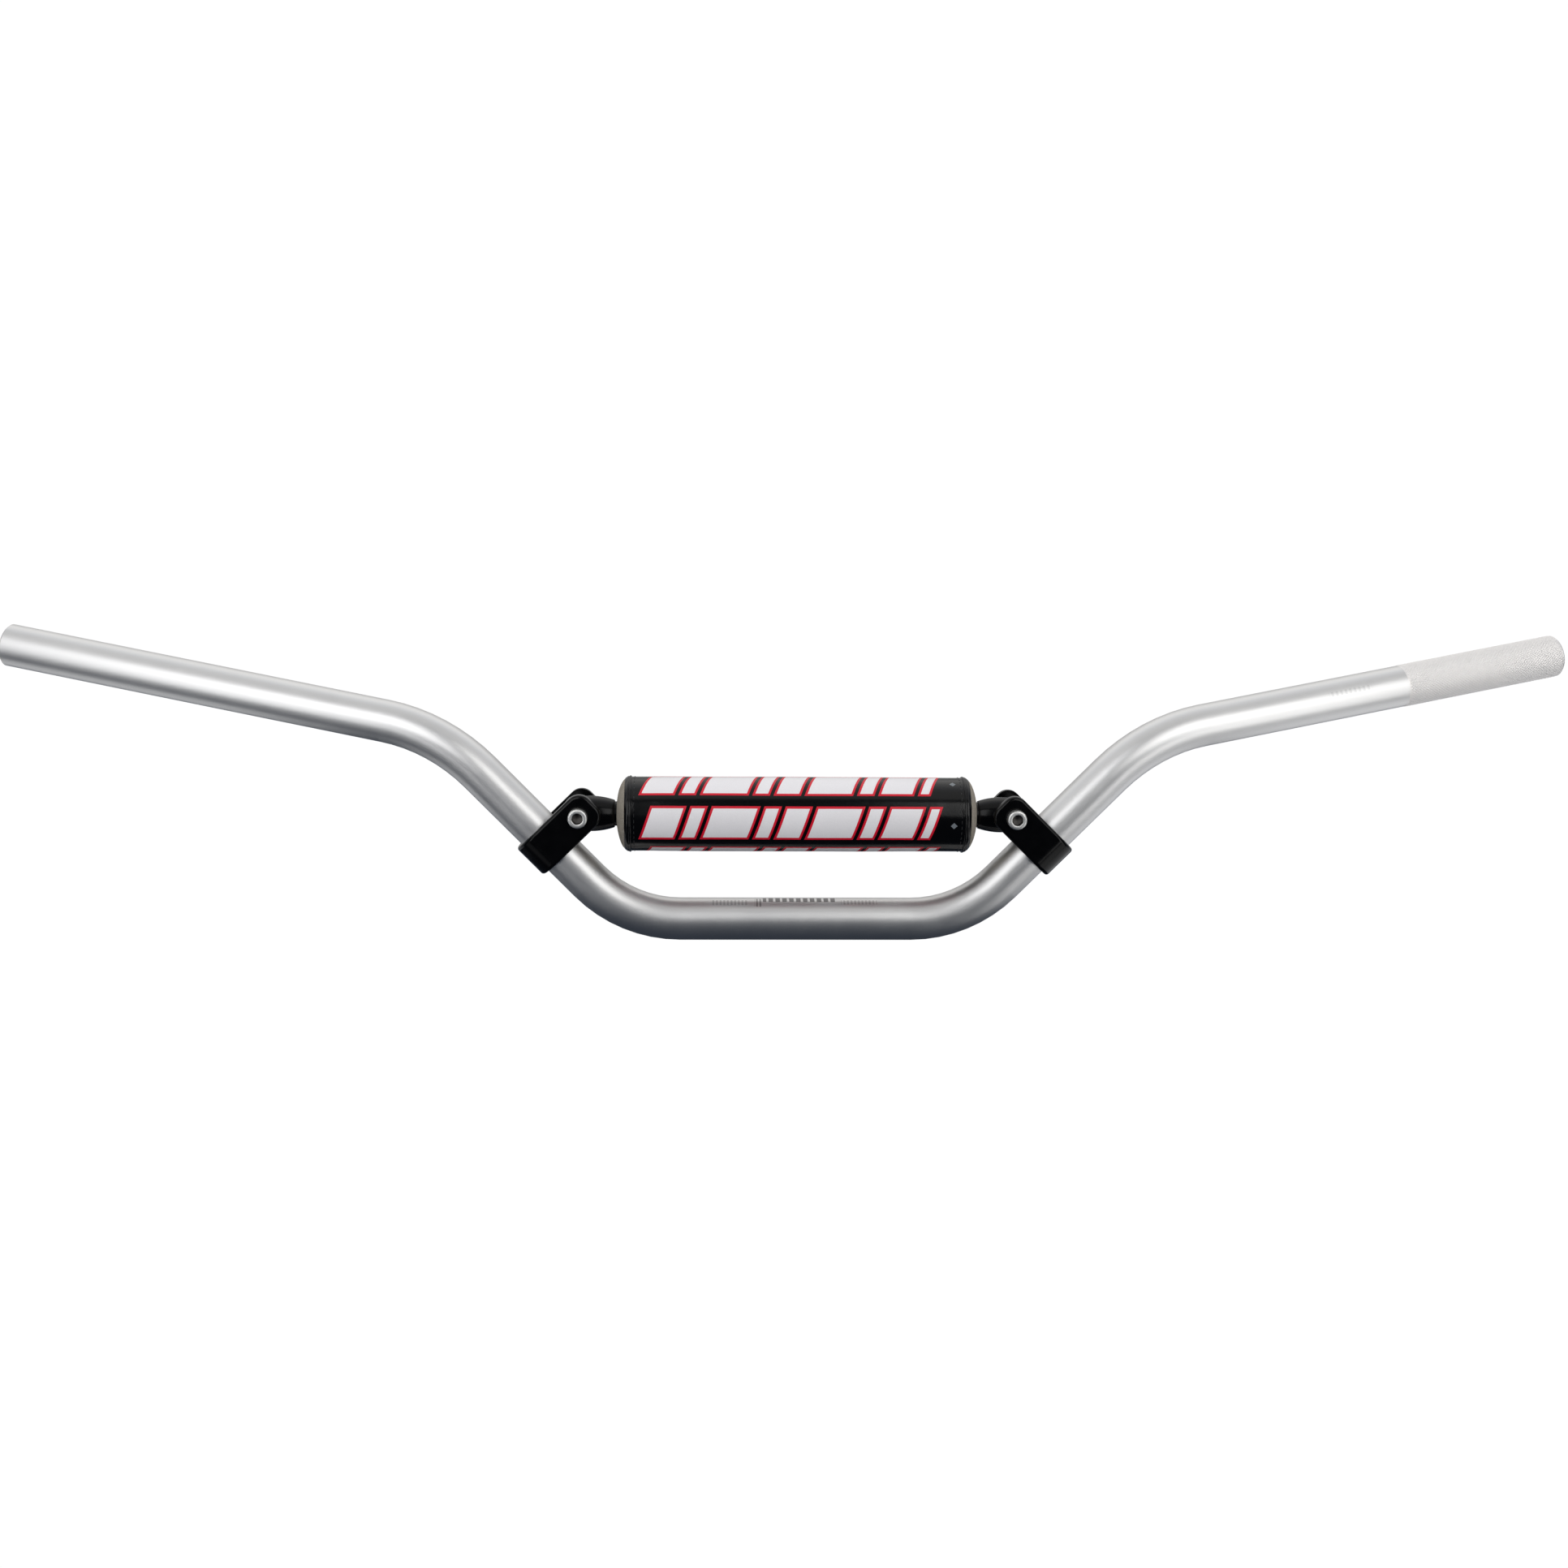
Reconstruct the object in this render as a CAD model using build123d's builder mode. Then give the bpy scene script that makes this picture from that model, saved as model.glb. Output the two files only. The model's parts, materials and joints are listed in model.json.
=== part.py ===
"""A braced motorcycle handlebar: bent tube, crossbar, clamps, fasteners and crossbar pad.

Millimetres. The origin is on the tube's axis, in the middle of the straight centre section.
+X runs along the bar to the rider's left, +Y points back to the rider, and +Z is up.
Pieces named left are at +X, the rider's left, which is the knurled clutch side.
"""

import os
from math import cos, radians, sin

from build123d import *

os.makedirs("parts", exist_ok=True)

# ---------------------------------------------------------------- driving dimensions
# Main tube: 7/8 inch handlebar stock
tube_radius = 11.1
tube_bore_radius = 7.0
tube_end_chamfer = 0.8

# Centre line of the main tube, from the middle outwards
lower_knee_x = 88.2
riser_angle = 45.5
riser_length = 137.0
lower_bend_radius = 66.0
grip_rise_angle = 9.8
grip_sweep_angle = 9.9
grip_length = 236.3
upper_bend_radius = 88.0

# Crossbar clamps: where they sit on the riser, and their section
clamp_along_riser = 56.9
clamp_width = 19.6
clamp_outer_radius = 14.5
ear_length = 32.0
ear_gap = 19.8
ear_corner_radius = 7.0
clamp_edge_radius = 1.7
screw_above_tube = 21.4

# M6 fasteners
screw_hole_radius = 3.2
screw_shank_radius = 2.96
screw_head_radius = 5.0
screw_head_height = 6.0
screw_head_chamfer = 0.6
screw_length = 35.0
screw_tip_chamfer = 0.6
hex_key_width = 5.0
hex_key_depth = 3.0
head_recess_radius = 5.6
head_recess_depth = 1.5
washer_radius = 6.0
washer_thickness = 1.6
nut_width = 10.0
nut_hex_height = 4.4
nut_height = 6.0
nut_collar_radius = 4.5
nut_bore_radius = 3.0
nut_edge_chamfer = 0.5
insert_radius = 3.9
insert_thickness = 1.3

# Crossbar: tube with end fittings that flare from a collar out to the eye
crossbar_radius = 6.35
crossbar_bore_radius = 4.75
crossbar_half_length = 94.0
eye_radius = 9.2
flare_length = 12.4
collar_x = 94.4
collar_radius = 7.2
collar_bevel = 0.3
spigot_length = 20.0
spigot_chamfer = 0.8
pin_radius = 1.5
pin_length = 12.0
pin_x = 84.0

# Pad: foam core, wrapped cover, piping and closure strips
foam_straight_half_length = 88.2
foam_dome_length = 6.0
foam_radius = 18.7
foam_bore_radius = 6.65
foam_slit_width = 1.0
cover_thickness = 0.6
cover_half_length = 88.9
cover_edge_angle = 58.0
cover_gap_angle = 10.0
flap_half_length = 83.5
flap_step_angle = 4.0
flap_margin_angle = 3.0
strip_thickness = 0.5
strip_start_angle = 0.0
strip_arc_angle = 46.0
strip_half_length = 82.0
piping_x = 86.3
piping_radius = 0.8

# ---------------------------------------------------------------- derived places
riser_direction = Vector(cos(radians(riser_angle)), 0, sin(radians(riser_angle)))
inward_direction = Vector(-sin(radians(riser_angle)), 0, cos(radians(riser_angle)))
grip_direction = Vector(
    cos(radians(grip_rise_angle)) * cos(radians(grip_sweep_angle)),
    cos(radians(grip_rise_angle)) * sin(radians(grip_sweep_angle)),
    sin(radians(grip_rise_angle)),
)

lower_knee = Vector(lower_knee_x, 0, 0)
upper_knee = lower_knee + riser_direction * riser_length
left_tip = upper_knee + grip_direction * grip_length
left_points = [lower_knee, upper_knee, left_tip]
right_points = [Vector(-point.X, point.Y, point.Z) for point in reversed(left_points)]

clamp_centre = lower_knee + riser_direction * clamp_along_riser
screw_centre = clamp_centre + inward_direction * screw_above_tube
screw_x = screw_centre.X
crossbar_z = screw_centre.Z

head_seat_y = -clamp_outer_radius + head_recess_depth
washer_seat_y = clamp_outer_radius
nut_seat_y = washer_seat_y + washer_thickness
crossbar_axis = Axis((0, 0, crossbar_z), (1, 0, 0))
foam_half_length = foam_straight_half_length + foam_dome_length


def across_plane(y):
    """A plane facing +Y at the given Y, with its origin on the left screw's axis."""
    return Plane(origin=(screw_x, y, crossbar_z), x_dir=(-1, 0, 0), z_dir=(0, 1, 0))


def pad_plane(x):
    """A plane facing +X at the given X, centred on the crossbar, with its X axis to the rear."""
    return Plane(origin=(x, 0, crossbar_z), x_dir=(0, 1, 0), z_dir=(1, 0, 0))


def finish(part, name):
    """Label a finished piece and write its STEP file."""
    part.label = name
    export_step(part, f"parts/{name}.step")


def finish_pair(left_part, name):
    """Write a left piece and its mirror image on the rider's right."""
    finish(left_part, f"{name}_left")
    with BuildPart() as right_piece:
        mirror(left_part, about=Plane.YZ)
    finish(right_piece.part, f"{name}_right")


# ---------------------------------------------------------------- handlebar tube
with BuildPart() as handlebar_tube:
    with BuildLine() as centre_line:
        FilletPolyline(
            *right_points,
            *left_points,
            radius=[upper_bend_radius, lower_bend_radius, lower_bend_radius, upper_bend_radius],
        )
    with BuildSketch(centre_line.line ^ 0):
        Circle(tube_radius)
        Circle(tube_bore_radius, mode=Mode.SUBTRACT)
    sweep(path=centre_line.line)
    end_faces = handlebar_tube.faces().filter_by(GeomType.PLANE).sort_by(Axis.X)
    chamfer(end_faces[0].edges() + end_faces[-1].edges(), length=tube_end_chamfer)

finish(handlebar_tube.part, "handlebar_tube")

# ---------------------------------------------------------------- crossbar clamps
clamp_plane = Plane(
    origin=clamp_centre - riser_direction * (clamp_width / 2),
    x_dir=(0, 1, 0),
    z_dir=riser_direction,
)
riser_axis = Axis(clamp_centre, riser_direction)
ear_axis = Axis(clamp_centre, inward_direction)
past_ear = ear_length + tube_radius

with BuildPart() as crossbar_clamp:
    with BuildSketch(clamp_plane):
        Circle(clamp_outer_radius)
        Rectangle(2 * clamp_outer_radius, ear_length, align=(Align.CENTER, Align.MIN))
    extrude(amount=clamp_width)
    ear_corners = crossbar_clamp.edges().filter_by(Axis.Y).group_by(ear_axis)[-1]
    fillet(ear_corners, radius=ear_corner_radius)
    tangent_edges = crossbar_clamp.edges().filter_by(riser_axis)
    ear_corner_edges = crossbar_clamp.edges().filter_by(Axis.Y)
    outline = crossbar_clamp.edges() - tangent_edges - ear_corner_edges
    fillet(outline, radius=clamp_edge_radius)
    with BuildSketch(clamp_plane):
        Circle(tube_radius)
        Rectangle(ear_gap, past_ear, align=(Align.CENTER, Align.MIN))
    extrude(amount=clamp_width, mode=Mode.SUBTRACT)
    with BuildSketch(across_plane(-clamp_outer_radius)):
        Circle(screw_hole_radius)
    extrude(amount=2 * clamp_outer_radius, mode=Mode.SUBTRACT)
    with BuildSketch(across_plane(-clamp_outer_radius)):
        Circle(head_recess_radius)
    extrude(amount=head_recess_depth, mode=Mode.SUBTRACT)

finish_pair(crossbar_clamp.part, "crossbar_clamp")

# ---------------------------------------------------------------- screws, washers and nuts
with BuildPart() as clamp_screw:
    with BuildSketch(across_plane(head_seat_y - screw_head_height)):
        Circle(screw_head_radius)
    extrude(amount=screw_head_height)
    chamfer(clamp_screw.edges().sort_by(Axis.Y)[0], length=screw_head_chamfer)
    with BuildSketch(across_plane(head_seat_y)):
        Circle(screw_shank_radius)
    extrude(amount=screw_length)
    chamfer(clamp_screw.edges().sort_by(Axis.Y)[-1], length=screw_tip_chamfer)
    with BuildSketch(across_plane(head_seat_y - screw_head_height)):
        RegularPolygon(hex_key_width / 2, 6, major_radius=False)
    extrude(amount=hex_key_depth, mode=Mode.SUBTRACT)

finish_pair(clamp_screw.part, "clamp_screw")

with BuildPart() as clamp_washer:
    with BuildSketch(across_plane(washer_seat_y)):
        Circle(washer_radius)
        Circle(screw_hole_radius, mode=Mode.SUBTRACT)
    extrude(amount=washer_thickness)

finish_pair(clamp_washer.part, "clamp_washer")

with BuildPart() as clamp_nut:
    with BuildSketch(across_plane(nut_seat_y)):
        RegularPolygon(nut_width / 2, 6, major_radius=False)
    extrude(amount=nut_hex_height)
    chamfer(clamp_nut.edges().group_by(Axis.Y)[-1], length=nut_edge_chamfer)
    with BuildSketch(across_plane(nut_seat_y)):
        Circle(nut_collar_radius)
    extrude(amount=nut_height)
    with BuildSketch(across_plane(nut_seat_y)):
        Circle(nut_bore_radius)
    extrude(amount=nut_height, mode=Mode.SUBTRACT)
    with BuildSketch(across_plane(nut_seat_y + nut_height - insert_thickness)):
        Circle(insert_radius)
    extrude(amount=insert_thickness, mode=Mode.SUBTRACT)

finish_pair(clamp_nut.part, "clamp_nut")

with BuildPart() as nut_insert:
    with BuildSketch(across_plane(nut_seat_y + nut_height - insert_thickness)):
        Circle(insert_radius)
        Circle(nut_bore_radius, mode=Mode.SUBTRACT)
    extrude(amount=insert_thickness)

finish_pair(nut_insert.part, "nut_insert")

# ---------------------------------------------------------------- crossbar
with BuildPart() as crossbar_tube:
    with BuildSketch(pad_plane(-crossbar_half_length)):
        Circle(crossbar_radius)
        Circle(crossbar_bore_radius, mode=Mode.SUBTRACT)
    extrude(amount=2 * crossbar_half_length)
    with BuildSketch(Plane.XZ.offset(-pin_length)):
        with Locations((-pin_x, crossbar_z), (pin_x, crossbar_z)):
            Circle(pin_radius)
    extrude(amount=2 * pin_length, mode=Mode.SUBTRACT)

finish(crossbar_tube.part, "crossbar_tube")

spigot_end_x = crossbar_half_length - spigot_length
flare_end_x = collar_x + flare_length
eye_top_z = crossbar_z + eye_radius

with BuildPart() as crossbar_end:
    with BuildSketch(across_plane(-ear_gap / 2)):
        Circle(eye_radius)
    extrude(amount=ear_gap)
    with BuildSketch(Plane.XZ):
        with BuildLine():
            shank = Polyline(
                (spigot_end_x, crossbar_z),
                (spigot_end_x, crossbar_z + crossbar_bore_radius - spigot_chamfer),
                (spigot_end_x + spigot_chamfer, crossbar_z + crossbar_bore_radius),
                (crossbar_half_length, crossbar_z + crossbar_bore_radius),
                (crossbar_half_length, crossbar_z + crossbar_radius),
                (collar_x, crossbar_z + crossbar_radius),
                (collar_x, crossbar_z + collar_radius - collar_bevel),
                (collar_x + collar_bevel, crossbar_z + collar_radius),
            )
            flare = TangentArc((flare_end_x, eye_top_z), shank @ 1, tangent=(-1, 0))
            Polyline(flare @ 0, (screw_x, eye_top_z), (screw_x, crossbar_z), shank @ 0)
        make_face()
    revolve(axis=crossbar_axis)
    with BuildSketch(across_plane(-ear_gap / 2)):
        Circle(screw_hole_radius)
    extrude(amount=ear_gap, mode=Mode.SUBTRACT)
    with BuildSketch(Plane.XZ.offset(-pin_length)):
        with Locations((pin_x, crossbar_z)):
            Circle(pin_radius)
    extrude(amount=2 * pin_length, mode=Mode.SUBTRACT)

finish_pair(crossbar_end.part, "crossbar_end")

with BuildPart() as crossbar_pin:
    with BuildSketch(Plane.XZ.offset(-pin_length / 2)):
        with Locations((pin_x, crossbar_z)):
            Circle(pin_radius)
    extrude(amount=pin_length)

finish_pair(crossbar_pin.part, "crossbar_pin")

# ---------------------------------------------------------------- pad
with BuildPart() as pad_foam:
    with BuildSketch(Plane.XZ):
        with BuildLine():
            Line(
                (-foam_straight_half_length, crossbar_z + foam_radius),
                (foam_straight_half_length, crossbar_z + foam_radius),
            )
            Line((-foam_half_length, crossbar_z), (foam_half_length, crossbar_z))
            for side, start_angle in ((1, 0), (-1, 90)):
                EllipticalCenterArc(
                    (side * foam_straight_half_length, crossbar_z),
                    foam_dome_length,
                    foam_radius,
                    start_angle,
                    arc_size=90,
                )
        make_face()
    revolve(axis=crossbar_axis)
    with BuildSketch(pad_plane(-foam_half_length)):
        Circle(foam_bore_radius)
        Rectangle(foam_radius, foam_slit_width, align=(Align.MIN, Align.CENTER))
    extrude(amount=2 * foam_half_length, mode=Mode.SUBTRACT)

finish(pad_foam.part, "pad_foam")


def band_section(inner_radius, outer_radius, start_angle, arc_angle):
    """Section of a thin band round the pad; angles run from the rear (+Y) towards the top."""
    with BuildSketch() as section:
        with BuildLine():
            inner = CenterArc((0, 0), inner_radius, start_angle, arc_angle)
            outer = CenterArc((0, 0), outer_radius, start_angle, arc_angle)
            Line(inner @ 0, outer @ 0)
            Line(inner @ 1, outer @ 1)
        make_face()
    return section.sketch


# The cover wraps once round the foam, then steps up over the two closure strips as a flap.
cover_radius = foam_radius + cover_thickness
hook_inner_radius = cover_radius + strip_thickness
flap_inner_radius = hook_inner_radius + strip_thickness
flap_radius = flap_inner_radius + cover_thickness
wrap_arc_angle = 360 - cover_gap_angle
flap_start_angle = strip_start_angle - flap_margin_angle
flap_arc_angle = cover_edge_angle + flap_step_angle - flap_start_angle

with BuildPart() as pad_cover:
    with BuildSketch(pad_plane(-cover_half_length)):
        add(band_section(foam_radius, cover_radius, cover_edge_angle, wrap_arc_angle))
    extrude(amount=2 * cover_half_length)
    with BuildSketch(pad_plane(-flap_half_length)):
        add(band_section(cover_radius, flap_radius, cover_edge_angle, flap_step_angle))
        add(band_section(flap_inner_radius, flap_radius, flap_start_angle, flap_arc_angle))
    extrude(amount=2 * flap_half_length)

finish(pad_cover.part, "pad_cover")

with BuildPart() as pad_loop_strip:
    with BuildSketch(pad_plane(-strip_half_length)):
        add(band_section(cover_radius, hook_inner_radius, strip_start_angle, strip_arc_angle))
    extrude(amount=2 * strip_half_length)

finish(pad_loop_strip.part, "pad_loop_strip")

with BuildPart() as pad_hook_strip:
    with BuildSketch(pad_plane(-strip_half_length)):
        add(band_section(hook_inner_radius, flap_inner_radius, strip_start_angle, strip_arc_angle))
    extrude(amount=2 * strip_half_length)

finish(pad_hook_strip.part, "pad_hook_strip")

with BuildPart() as pad_piping:
    with BuildSketch(Plane.XZ):
        with Locations((piping_x, crossbar_z + cover_radius)):
            Circle(piping_radius)
            Rectangle(
                2 * piping_radius,
                piping_radius,
                align=(Align.CENTER, Align.MAX),
                mode=Mode.SUBTRACT,
            )
    revolve(axis=crossbar_axis)

finish_pair(pad_piping.part, "pad_piping")
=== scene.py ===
import json
import math

import bmesh
import bpy
import numpy as np
from mathutils import Matrix, Vector, noise


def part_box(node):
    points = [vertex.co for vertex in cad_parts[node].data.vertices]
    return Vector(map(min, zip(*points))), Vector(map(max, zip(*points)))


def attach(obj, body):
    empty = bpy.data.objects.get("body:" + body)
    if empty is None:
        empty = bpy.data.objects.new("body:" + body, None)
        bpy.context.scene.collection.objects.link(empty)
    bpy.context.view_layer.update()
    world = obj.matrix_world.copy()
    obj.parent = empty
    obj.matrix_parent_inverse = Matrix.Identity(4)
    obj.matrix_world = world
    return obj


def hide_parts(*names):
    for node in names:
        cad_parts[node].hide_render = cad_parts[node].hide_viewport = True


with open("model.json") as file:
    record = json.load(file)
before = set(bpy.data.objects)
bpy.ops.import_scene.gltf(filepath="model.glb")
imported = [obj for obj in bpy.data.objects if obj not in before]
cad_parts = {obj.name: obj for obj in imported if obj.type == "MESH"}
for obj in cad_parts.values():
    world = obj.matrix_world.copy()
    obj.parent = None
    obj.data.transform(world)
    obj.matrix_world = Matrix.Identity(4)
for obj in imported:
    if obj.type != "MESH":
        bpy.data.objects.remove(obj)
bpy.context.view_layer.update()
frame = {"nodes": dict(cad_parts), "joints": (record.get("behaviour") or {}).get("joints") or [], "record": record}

MM = 0.001
TAU = 2 * math.pi
MOUNTS = {mount["name"]: mount for mount in frame["record"]["mounts"]}
JOINTS = {joint["name"]: joint for joint in frame["joints"]}
SIDES = (("left", 1), ("right", -1))

# ---------------------------------------------------------------- places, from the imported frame
TUBE_RADIUS = MOUNTS["stem_clamp"]["dims"]["r_mm"] * MM
CROSSBAR_Z = JOINTS["pad_turn"]["pos_m"][2]
FOAM_RADIUS = CROSSBAR_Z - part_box("pad_foam")[0].z
COVER_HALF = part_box("pad_cover")[1].x
COVER_RADIUS = CROSSBAR_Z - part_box("pad_cover")[0].z
COVER_THICKNESS = COVER_RADIUS - FOAM_RADIUS
FLAP_PAST_STRIP = 1.5 * MM
FLAP_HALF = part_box("pad_hook_strip")[1].x + FLAP_PAST_STRIP
FLAP_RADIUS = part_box("pad_cover")[1].y
PIPING_LOW, PIPING_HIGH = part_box("pad_piping_left")
PIPING_X = (PIPING_LOW.x + PIPING_HIGH.x) / 2

# The left grip: its axis out towards its tip, the tip and the level direction across it.
GRIP = MOUNTS["grip_left"]
GRIP_AXIS = Vector(GRIP["axis"]).normalized()
GRIP_TIP = Vector(GRIP["pos_m"]) + GRIP_AXIS * (GRIP["dims"]["length_mm"] * MM / 2)
GRIP_ACROSS = GRIP_AXIS.cross(Vector((0, 0, 1))).normalized()


# ---------------------------------------------------------------- node helpers
def new_material(name, colour, metallic, roughness):
    """A principled material with plain values; returns it with its tree and shader."""
    material = bpy.data.materials.new(name)
    material.use_nodes = True
    shader = material.node_tree.nodes["Principled BSDF"]
    shader.inputs["Base Color"].default_value = (*colour, 1)
    shader.inputs["Metallic"].default_value = metallic
    shader.inputs["Roughness"].default_value = roughness
    return material, material.node_tree, shader


def feed(tree, socket, value):
    """Sets a socket from a number, a colour tuple or another socket."""
    if isinstance(value, (int, float)):
        socket.default_value = value
    elif isinstance(value, tuple):
        socket.default_value = (*value, 1) if len(value) == 3 else value
    else:
        tree.links.new(value, socket)


def calc(tree, operation, *values):
    """A math node on numbers and sockets."""
    node = tree.nodes.new("ShaderNodeMath")
    node.operation = operation
    for socket, value in zip(node.inputs, values):
        feed(tree, socket, value)
    return node.outputs[0]


def product(tree, *values):
    """All the values multiplied together."""
    result = values[0]
    for value in values[1:]:
        result = calc(tree, "MULTIPLY", result, value)
    return result


def step(tree, value, edge, softness):
    """0 below the edge and 1 above it, with a smooth change of the given half-width."""
    node = tree.nodes.new("ShaderNodeMapRange")
    node.interpolation_type = "SMOOTHSTEP"
    node.inputs["From Min"].default_value = edge - softness
    node.inputs["From Max"].default_value = edge + softness
    feed(tree, node.inputs["Value"], value)
    return node.outputs["Result"]


def below(tree, value, edge, softness):
    """1 below the edge and 0 above it."""
    return calc(tree, "SUBTRACT", 1.0, step(tree, value, edge, softness))


def remap(tree, value, low, high):
    """A value from 0 to 1 spread over low to high."""
    return calc(tree, "MULTIPLY_ADD", value, high - low, low)


def mix(tree, share, first, second):
    """A colour between first and second."""
    node = tree.nodes.new("ShaderNodeMix")
    node.data_type = "RGBA"
    feed(tree, node.inputs[0], share)
    feed(tree, node.inputs[6], first)
    feed(tree, node.inputs[7], second)
    return node.outputs[2]


def object_point(tree):
    """The shaded point in its piece's own coordinates: x, y, z and the vector."""
    point = tree.nodes.new("ShaderNodeTexCoord").outputs["Object"]
    split = tree.nodes.new("ShaderNodeSeparateXYZ")
    tree.links.new(point, split.inputs[0])
    return split.outputs[0], split.outputs[1], split.outputs[2], point


def speckle(tree, vector, scale, detail=2.0):
    """Noise with the given number of cells per metre."""
    node = tree.nodes.new("ShaderNodeTexNoise")
    node.inputs["Scale"].default_value = scale
    node.inputs["Detail"].default_value = detail
    tree.links.new(vector, node.inputs["Vector"])
    return node.outputs["Fac"]


def cells(tree, vector, scale, feature="F1"):
    """Voronoi distance with the given number of cells per metre."""
    node = tree.nodes.new("ShaderNodeTexVoronoi")
    node.feature = feature
    node.inputs["Scale"].default_value = scale
    tree.links.new(vector, node.inputs["Vector"])
    return node.outputs["Distance"]


def bump(tree, shader, height, strength, distance):
    """Surface relief from a height, with its distance in metres."""
    node = tree.nodes.new("ShaderNodeBump")
    node.inputs["Strength"].default_value = strength
    node.inputs["Distance"].default_value = distance
    tree.links.new(height, node.inputs["Height"])
    tree.links.new(node.outputs["Normal"], shader.inputs["Normal"])


def cylinder_angle(tree, across, up, centre_up):
    """The angle round an X axis line, from +Y towards +Z, in radians."""
    return calc(tree, "ARCTAN2", calc(tree, "SUBTRACT", up, centre_up), across)


def bar_shape(tree, along, across, centre, half_width, half_height):
    """Signed distance to an upright bar: negative inside."""
    sideways = calc(tree, "ABSOLUTE", calc(tree, "SUBTRACT", along, centre))
    upright = calc(tree, "ABSOLUTE", across)
    return calc(
        tree,
        "MAXIMUM",
        calc(tree, "SUBTRACT", sideways, half_width),
        calc(tree, "SUBTRACT", upright, half_height),
    )


def reach_along(tree, place, origin, direction):
    """How far a shaded point lies from the origin along a direction."""
    total = -origin.dot(direction)
    for value, share in zip(place, direction):
        total = calc(tree, "MULTIPLY_ADD", value, share, total)
    return total


MARK_EDGE = 0.05 * MM


def ticks(tree, along, across, start, end, pitch, share, low, high, strength, edge):
    """A row of short marks: 0 on bare metal, the strength on a mark."""
    inside = product(
        tree,
        step(tree, along, start * MM, MARK_EDGE),
        below(tree, along, end * MM, MARK_EDGE),
        step(tree, across, low, edge),
        below(tree, across, high, edge),
    )
    phase = calc(tree, "FRACT", calc(tree, "DIVIDE", along, pitch * MM))
    return product(tree, inside, below(tree, phase, share, 0.04), strength)


# ---------------------------------------------------------------- materials
# Laser marks: start, end and pitch along in mm, share marked, low and high edge, strength.
# The edges are in degrees round the middle section, and in metres of height on the grip.
CENTRE_MARKS = (
    (-44.6, -25.3, 1.9, 0.5, 108, 129, 0.3),
    (-21.8, -18.3, 1.75, 0.6, 101, 134, 0.55),
    (-17.4, 20.3, 3.6, 0.66, 95, 116, 0.85),
    (23.4, 42.3, 1.9, 0.5, 108, 126, 0.3),
)
GRIP_MARKS = ((113, 138, 2.6, 0.5, 3.4 * MM, 5.8 * MM, 0.16),)


def aluminium():
    """Bead-blasted, clear-anodised tube with laser graduations on its middle and left grip."""
    material, tree, shader = new_material("satin_aluminium", (0.7, 0.7, 0.7), 1.0, 0.36)
    x, y, z, point = object_point(tree)
    cloud = speckle(tree, point, 60)
    grain = speckle(tree, point, 2600, 3)
    fine = speckle(tree, point, 7000, 2)
    feed(tree, shader.inputs["Roughness"], remap(tree, cloud, 0.38, 0.43))

    # Graduations on the middle section, by place along it and degrees round it.
    turn = calc(tree, "DEGREES", cylinder_angle(tree, y, z, 0.0))
    middle = below(tree, calc(tree, "ABSOLUTE", z), TUBE_RADIUS * 1.02, 0.01 * MM)
    marks = [
        product(tree, middle, ticks(tree, x, turn, *group, edge=0.6)) for group in CENTRE_MARKS
    ]

    # Graduations on the left grip, by distance from its tip and height on its front half.
    from_tip = reach_along(tree, (x, y, z), GRIP_TIP, -GRIP_AXIS)
    height = reach_along(tree, (x, y, z), GRIP_TIP, GRIP_ACROSS.cross(GRIP_AXIS))
    front = step(tree, reach_along(tree, (x, y, z), GRIP_TIP, GRIP_ACROSS), 0.0, 0.1 * MM)
    marks += [
        product(tree, front, ticks(tree, from_tip, height, *group, edge=MARK_EDGE))
        for group in GRIP_MARKS
    ]
    dark = marks[0]
    for mark in marks[1:]:
        dark = calc(tree, "MAXIMUM", dark, mark)
    dark = product(tree, dark, remap(tree, cloud, 0.7, 1.0))

    base = mix(tree, cloud, (0.715, 0.712, 0.71), (0.77, 0.766, 0.76))
    base = mix(tree, dark, base, (0.03, 0.026, 0.03))
    feed(tree, shader.inputs["Base Color"], base)
    relief = calc(tree, "MULTIPLY_ADD", fine, 0.5, grain)
    bump(tree, shader, relief, 0.07, 0.00006)
    return material


def knurled_aluminium():
    """The pale rolled knurl: rougher than the tube and faintly mottled."""
    material, tree, shader = new_material("knurled_aluminium", (0.9, 0.89, 0.89), 1.0, 0.6)
    _, _, _, point = object_point(tree)
    cloud = speckle(tree, point, 400, 3)
    base = mix(tree, cloud, (0.86, 0.84, 0.825), (0.94, 0.92, 0.905))
    feed(tree, shader.inputs["Base Color"], base)
    feed(tree, shader.inputs["Roughness"], remap(tree, cloud, 0.52, 0.7))
    bump(tree, shader, speckle(tree, point, 5000), 0.3, 0.00004)
    return material


def gloss_black(name, roughness):
    """Black anodised aluminium: a deep gloss with a faint haze and a fine grain."""
    material, tree, shader = new_material(name, (0.001, 0.001, 0.0012), 0.0, roughness)
    _, _, _, point = object_point(tree)
    haze = speckle(tree, point, 180, 3)
    feed(tree, shader.inputs["Roughness"], remap(tree, haze, roughness - 0.05, roughness + 0.07))
    base = mix(tree, haze, (0.0007, 0.0007, 0.0008), (0.002, 0.002, 0.0023))
    feed(tree, shader.inputs["Base Color"], base)
    bump(tree, shader, speckle(tree, point, 1500, 2), 0.07, 0.00005)
    shader.inputs["Specular IOR Level"].default_value = 0.22
    return material


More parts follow.
